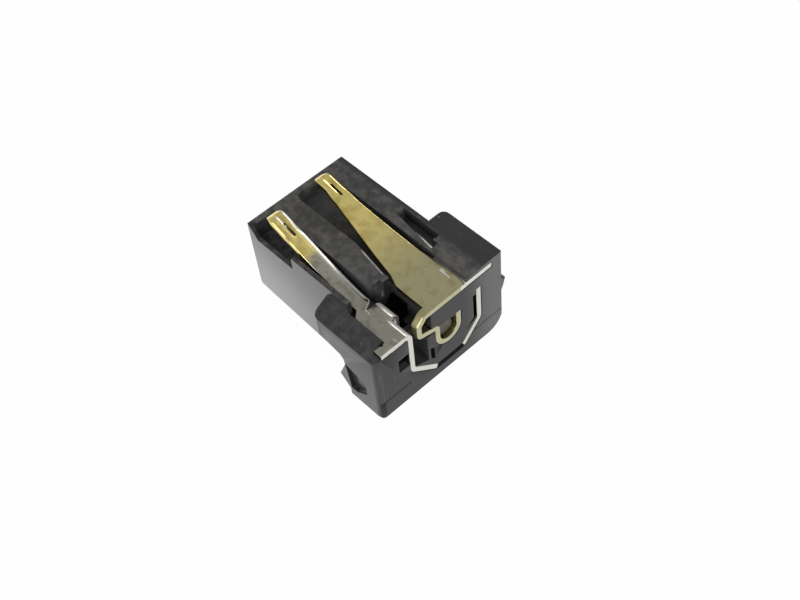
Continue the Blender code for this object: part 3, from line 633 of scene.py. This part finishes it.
# %% Folded strips
HOOK_RADIUS = 0.50 + SHEET / 2
LEG_RIGHT = BORE_X + 1.75 + SHEET / 2
BAND_Z = 0.50 + 0.03 + SHEET / 2
STRIPS_START = REAR + 0.001    # a hair behind the plates' ends, so that no two faces coincide
HOOK_WIDTH, BAND_WIDTH = 0.40, 1.05
FINGER_START, FINGER_END = 1.20, 2.27


def folded_strip(name, path, widths, material, node):
    """widths gives the strip's near and far edges at each point of its path."""
    rings = []
    for point, normal, (near, far) in zip(path, path_normals(path), widths):
        ring = []
        for y, h in sheet_section(near, far, SHEET * OVERLAP, 0.035, 0.035, 4):
            ring.append((point.x + normal.x * h, y, point.y + normal.y * h))
        rings.append(ring)
    strip = new_piece(name, skin(rings), [material], 40)
    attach(strip, "housing")
    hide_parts(node)
    return strip


def hook_path():
    edge = BORE_X - WIDE_LEFT
    low = WIDE_Z - 1.07
    path = rounded([
        (edge + 0.30, WIDE_Z), (edge - 0.25, WIDE_Z - 0.02), (edge - 0.64, WIDE_Z - 0.42),
        (edge - 0.64, low), (BORE_X - HOOK_RADIUS, low - 0.28), (BORE_X - HOOK_RADIUS, BORE_Z),
    ], 0.20)
    for i in range(1, 25):
        a = math.pi + math.pi * i / 24
        path.append(Vector((BORE_X + HOOK_RADIUS * math.cos(a), BORE_Z + HOOK_RADIUS * math.sin(a))))
    return path + [Vector((BORE_X + HOOK_RADIUS, BORE_Z + 0.72))]


def band_path():
    return rounded([(PLATE_EDGE - 0.20, NARROW_Z), (LEG_LEFT, NARROW_Z), (LEG_LEFT, BORE_Z - 0.79),
                    (BORE_X - 0.84, BAND_Z), (BORE_X + 0.84, BAND_Z), (LEG_RIGHT, BORE_Z - 0.82),
                    (LEG_RIGHT, BORE_Z + 1.22)], 0.33)


def finger_path():
    x = BORE_X - 1.75 + 0.05 - SHEET / 2
    return rounded([(PLATE_EDGE - 0.20, NARROW_Z), (x - 0.04, NARROW_Z), (x - 0.06, NARROW_Z - 1.0),
                    (x, NARROW_Z - 2.0)], 0.33)


def band_widths(path):
    """The flat under the core is set back from the rear face; the top meets the finger's plate."""
    widths = []
    for point in path:
        inset = joined = 0
        if point.y < 1.2:
            inset = 0.35 * (1 - ease(abs(point.x - BORE_X), 0.70, 0.84))
        if point.x < LEG_LEFT + 0.1:
            joined = 0.16 * ease(point.y, NARROW_Z - 0.30, NARROW_Z - 0.05)
        widths.append((STRIPS_START + inset, REAR + BAND_WIDTH + joined))
    return widths


hook = hook_path()
hook_widths = [(STRIPS_START, REAR + HOOK_WIDTH)] * len(hook)
folded_strip("pin_hook", hook, hook_widths, wide_plating, "pin_contact")
band = band_path()
folded_strip("sleeve_band", band, band_widths(band), narrow_plating, "sleeve_contact")
finger = finger_path()
finger_widths = [(REAR + FINGER_START, REAR + FINGER_END)] * len(finger)
folded_strip("sleeve_finger", finger, finger_widths, narrow_plating, "sleeve_contact")
print("strip points", len(hook), len(band), len(finger))

# %% [markdown]
# The plates' wings lie in slots of the housing. Only their rear edges and one shoulder show, in
# the window beside the wide spring. They are flat outlines, thickened and rolled at the edges.

# %% Wings and shoulder
def stamped_plate(name, outline, z, material, node):
    bm = bmesh.new()
    half = SHEET * OVERLAP ** 2 / 2
    rows = [[bm.verts.new(Vector((x, y, z + h)) * MM) for x, y in outline] for h in (-half, half)]
    for i in range(len(outline)):
        j = (i + 1) % len(outline)
        bm.faces.new((rows[0][i], rows[0][j], rows[1][j], rows[1][i]))
    bm.faces.new(rows[0])
    bm.faces.new(rows[1])
    bmesh.ops.bevel(bm, geom=bm.edges[:], offset=0.03 * MM, segments=2, profile=0.5, affect="EDGES")
    plate = new_piece(name, bm, [material], 40)
    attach(plate, "housing")
    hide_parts(node)
    return plate


WINGS_START = REAR + 0.002
WING_REACH, LEFT_REACH = 1.60, 0.56
SHOULDER_START, SHOULDER_END = REAR + 2.30, REAR + 3.65

inside, right = BORE_X + WIDE_RIGHT - 0.30, BORE_X + WIDE_RIGHT
window_lean = 0.36 * (SHOULDER_END - SHOULDER_START) / 2.60
wing_outline = [
    (inside, WINGS_START), (right + WING_REACH, WINGS_START), (right + WING_REACH, REAR + 1.15),
    (right + 0.42, REAR + 1.15), (right + 0.42, SHOULDER_START),
    (right + 0.42 + window_lean, SHOULDER_END), (right + 0.12, SHOULDER_END),
    (right + 0.12, REAR + 2.00), (inside, REAR + 2.00),
]
stamped_plate("pin_wing", wing_outline, WIDE_Z, wing_plating, "pin_contact")
left_outline = [(-HALF - LEFT_REACH, WINGS_START), (-HALF + 0.50, WINGS_START),
                (-HALF + 0.50, REAR + 0.45), (-HALF - LEFT_REACH, REAR + 0.45)]
stamped_plate("sleeve_wing", left_outline, NARROW_Z, narrow_plating, "sleeve_contact")
print("wings reach", round(right + WING_REACH, 2), "and", round(-HALF - LEFT_REACH, 2), "mm")

# %% [markdown]
# The centre pin is turned on a lathe and nickel plated. Its form is the frame's, and fine rings across
# its length are what the tool leaves. The tail in the hook is painted dark: painted shade, where the
# hook shades it.

# %% Turned pin
TAIL_ENDS = -0.10    # where the tail's painted shade ends, along the pin's own length
NICKEL, DULL_NICKEL, PAINTED_TAIL_SHADE = (0.66, 0.62, 0.53, 1), (0.50, 0.46, 0.38, 1), (0.09, 0.085, 0.075, 1)


def make_turned():
    finish = Finish("turned_nickel")
    rings = blotches(finish, 30.0, 2.0, (0.02, 1.0, 0.02))
    cloud = blotches(finish, 1.5, 3.0)
    nickel = mixed(finish, cloud, NICKEL, DULL_NICKEL)
    tail = 1 - step(finish, direction(finish, "Y"), TAIL_ENDS * MM, (TAIL_ENDS + 0.15) * MM)
    finish.feed(finish.shader, {
        # Painted shade: the tail inside the hook is coloured nearly black.
        "Base Color": mixed(finish, tail * 0.85, nickel, PAINTED_TAIL_SHADE),
        "Metallic": 1.0,
        "Roughness": 0.20 + cloud * 0.15 + tail * 0.25,
        "Normal": relief(finish, rings, 0.004, 0.6),
    })
    return finish.material


turned_nickel = make_turned()
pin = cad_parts["centre_pin"]
pin.data.materials.clear()
pin.data.materials.append(turned_nickel)
print("pin faces", len(pin.data.polygons))

# %% [markdown]
# The part was photographed on white with soft light from all round, brightest from the left.
# White paper below shows in the glossy side faces, so the floor keeps its white for reflections.
# The lamps are large and off to the side, where the flat springs don't mirror them. The long strip
# on the right is the one that the narrow spring's crease mirrors.

# %% Floor and light
FLOOR_GAP = 0.02 * MM
PAPER_WHITE = 0.975     # the rest is plain paper, which takes the shadow


def make_floor():
    bm = bmesh.new()
    bmesh.ops.create_grid(bm, x_segments=1, y_segments=1, size=0.6)
    floor = new_piece("floor", bm, [])
    floor.location.z = -FLOOR_GAP
    paper = Finish("white_paper")
    seen = paper.add("ShaderNodeLightPath", out="Is Camera Ray")
    mirrored = paper.add("ShaderNodeLightPath", out="Is Glossy Ray")
    through = paper.add("ShaderNodeLightPath", out="Is Transmission Ray")
    plain = paper.add("ShaderNodeBsdfDiffuse", {}, {"Color": (0.9, 0.9, 0.9, 1)})
    white = paper.add("ShaderNodeEmission", {}, {"Color": (1, 1, 1, 1), "Strength": 1.0})
    direct = (seen + mirrored + through) * PAPER_WHITE
    both = paper.add("ShaderNodeMixShader", {}, {0: direct, 1: plain, 2: white})
    paper.tree.nodes.remove(paper.shader)
    paper.feed(paper.tree.nodes["Material Output"], {"Surface": both})
    floor.data.materials.append(paper.material)
    return floor


def make_world(level):
    world = bpy.data.worlds.new("studio")
    bpy.context.scene.world = world
    world.use_nodes = True
    around = world.node_tree.nodes["Background"]
    around.inputs["Color"].default_value = (1, 1, 1, 1)
    around.inputs["Strength"].default_value = level


def softbox(name, place_mm, size_mm, level, aim_mm=(0, 0, 3)):
    """An area lamp; level is its brightness beside a white of 1."""
    data = bpy.data.lights.new(name, "AREA")
    data.shape, data.size, data.size_y = "RECTANGLE", size_mm[0] * MM, size_mm[1] * MM
    data.energy = level * math.pi * data.size * data.size_y
    lamp = bpy.data.objects.new(name, data)
    bpy.context.scene.collection.objects.link(lamp)
    lamp.location = Vector(place_mm) * MM
    lamp.rotation_mode = "QUATERNION"
    lamp.rotation_quaternion = (Vector(aim_mm) * MM - lamp.location).to_track_quat("-Z", "Y")
    return lamp


make_floor()
make_world(0.5)
softbox("left_softbox", (-160, -10, 70), (120, 120), 3.2)
softbox("over_softbox", (66, -15, 160), (70, 70), 0.35)
softbox("strip_softbox", (138, 37, 93), (104, 30), 4.5)
softbox("rear_softbox", (-60, -150, 90), (90, 90), 1.0)
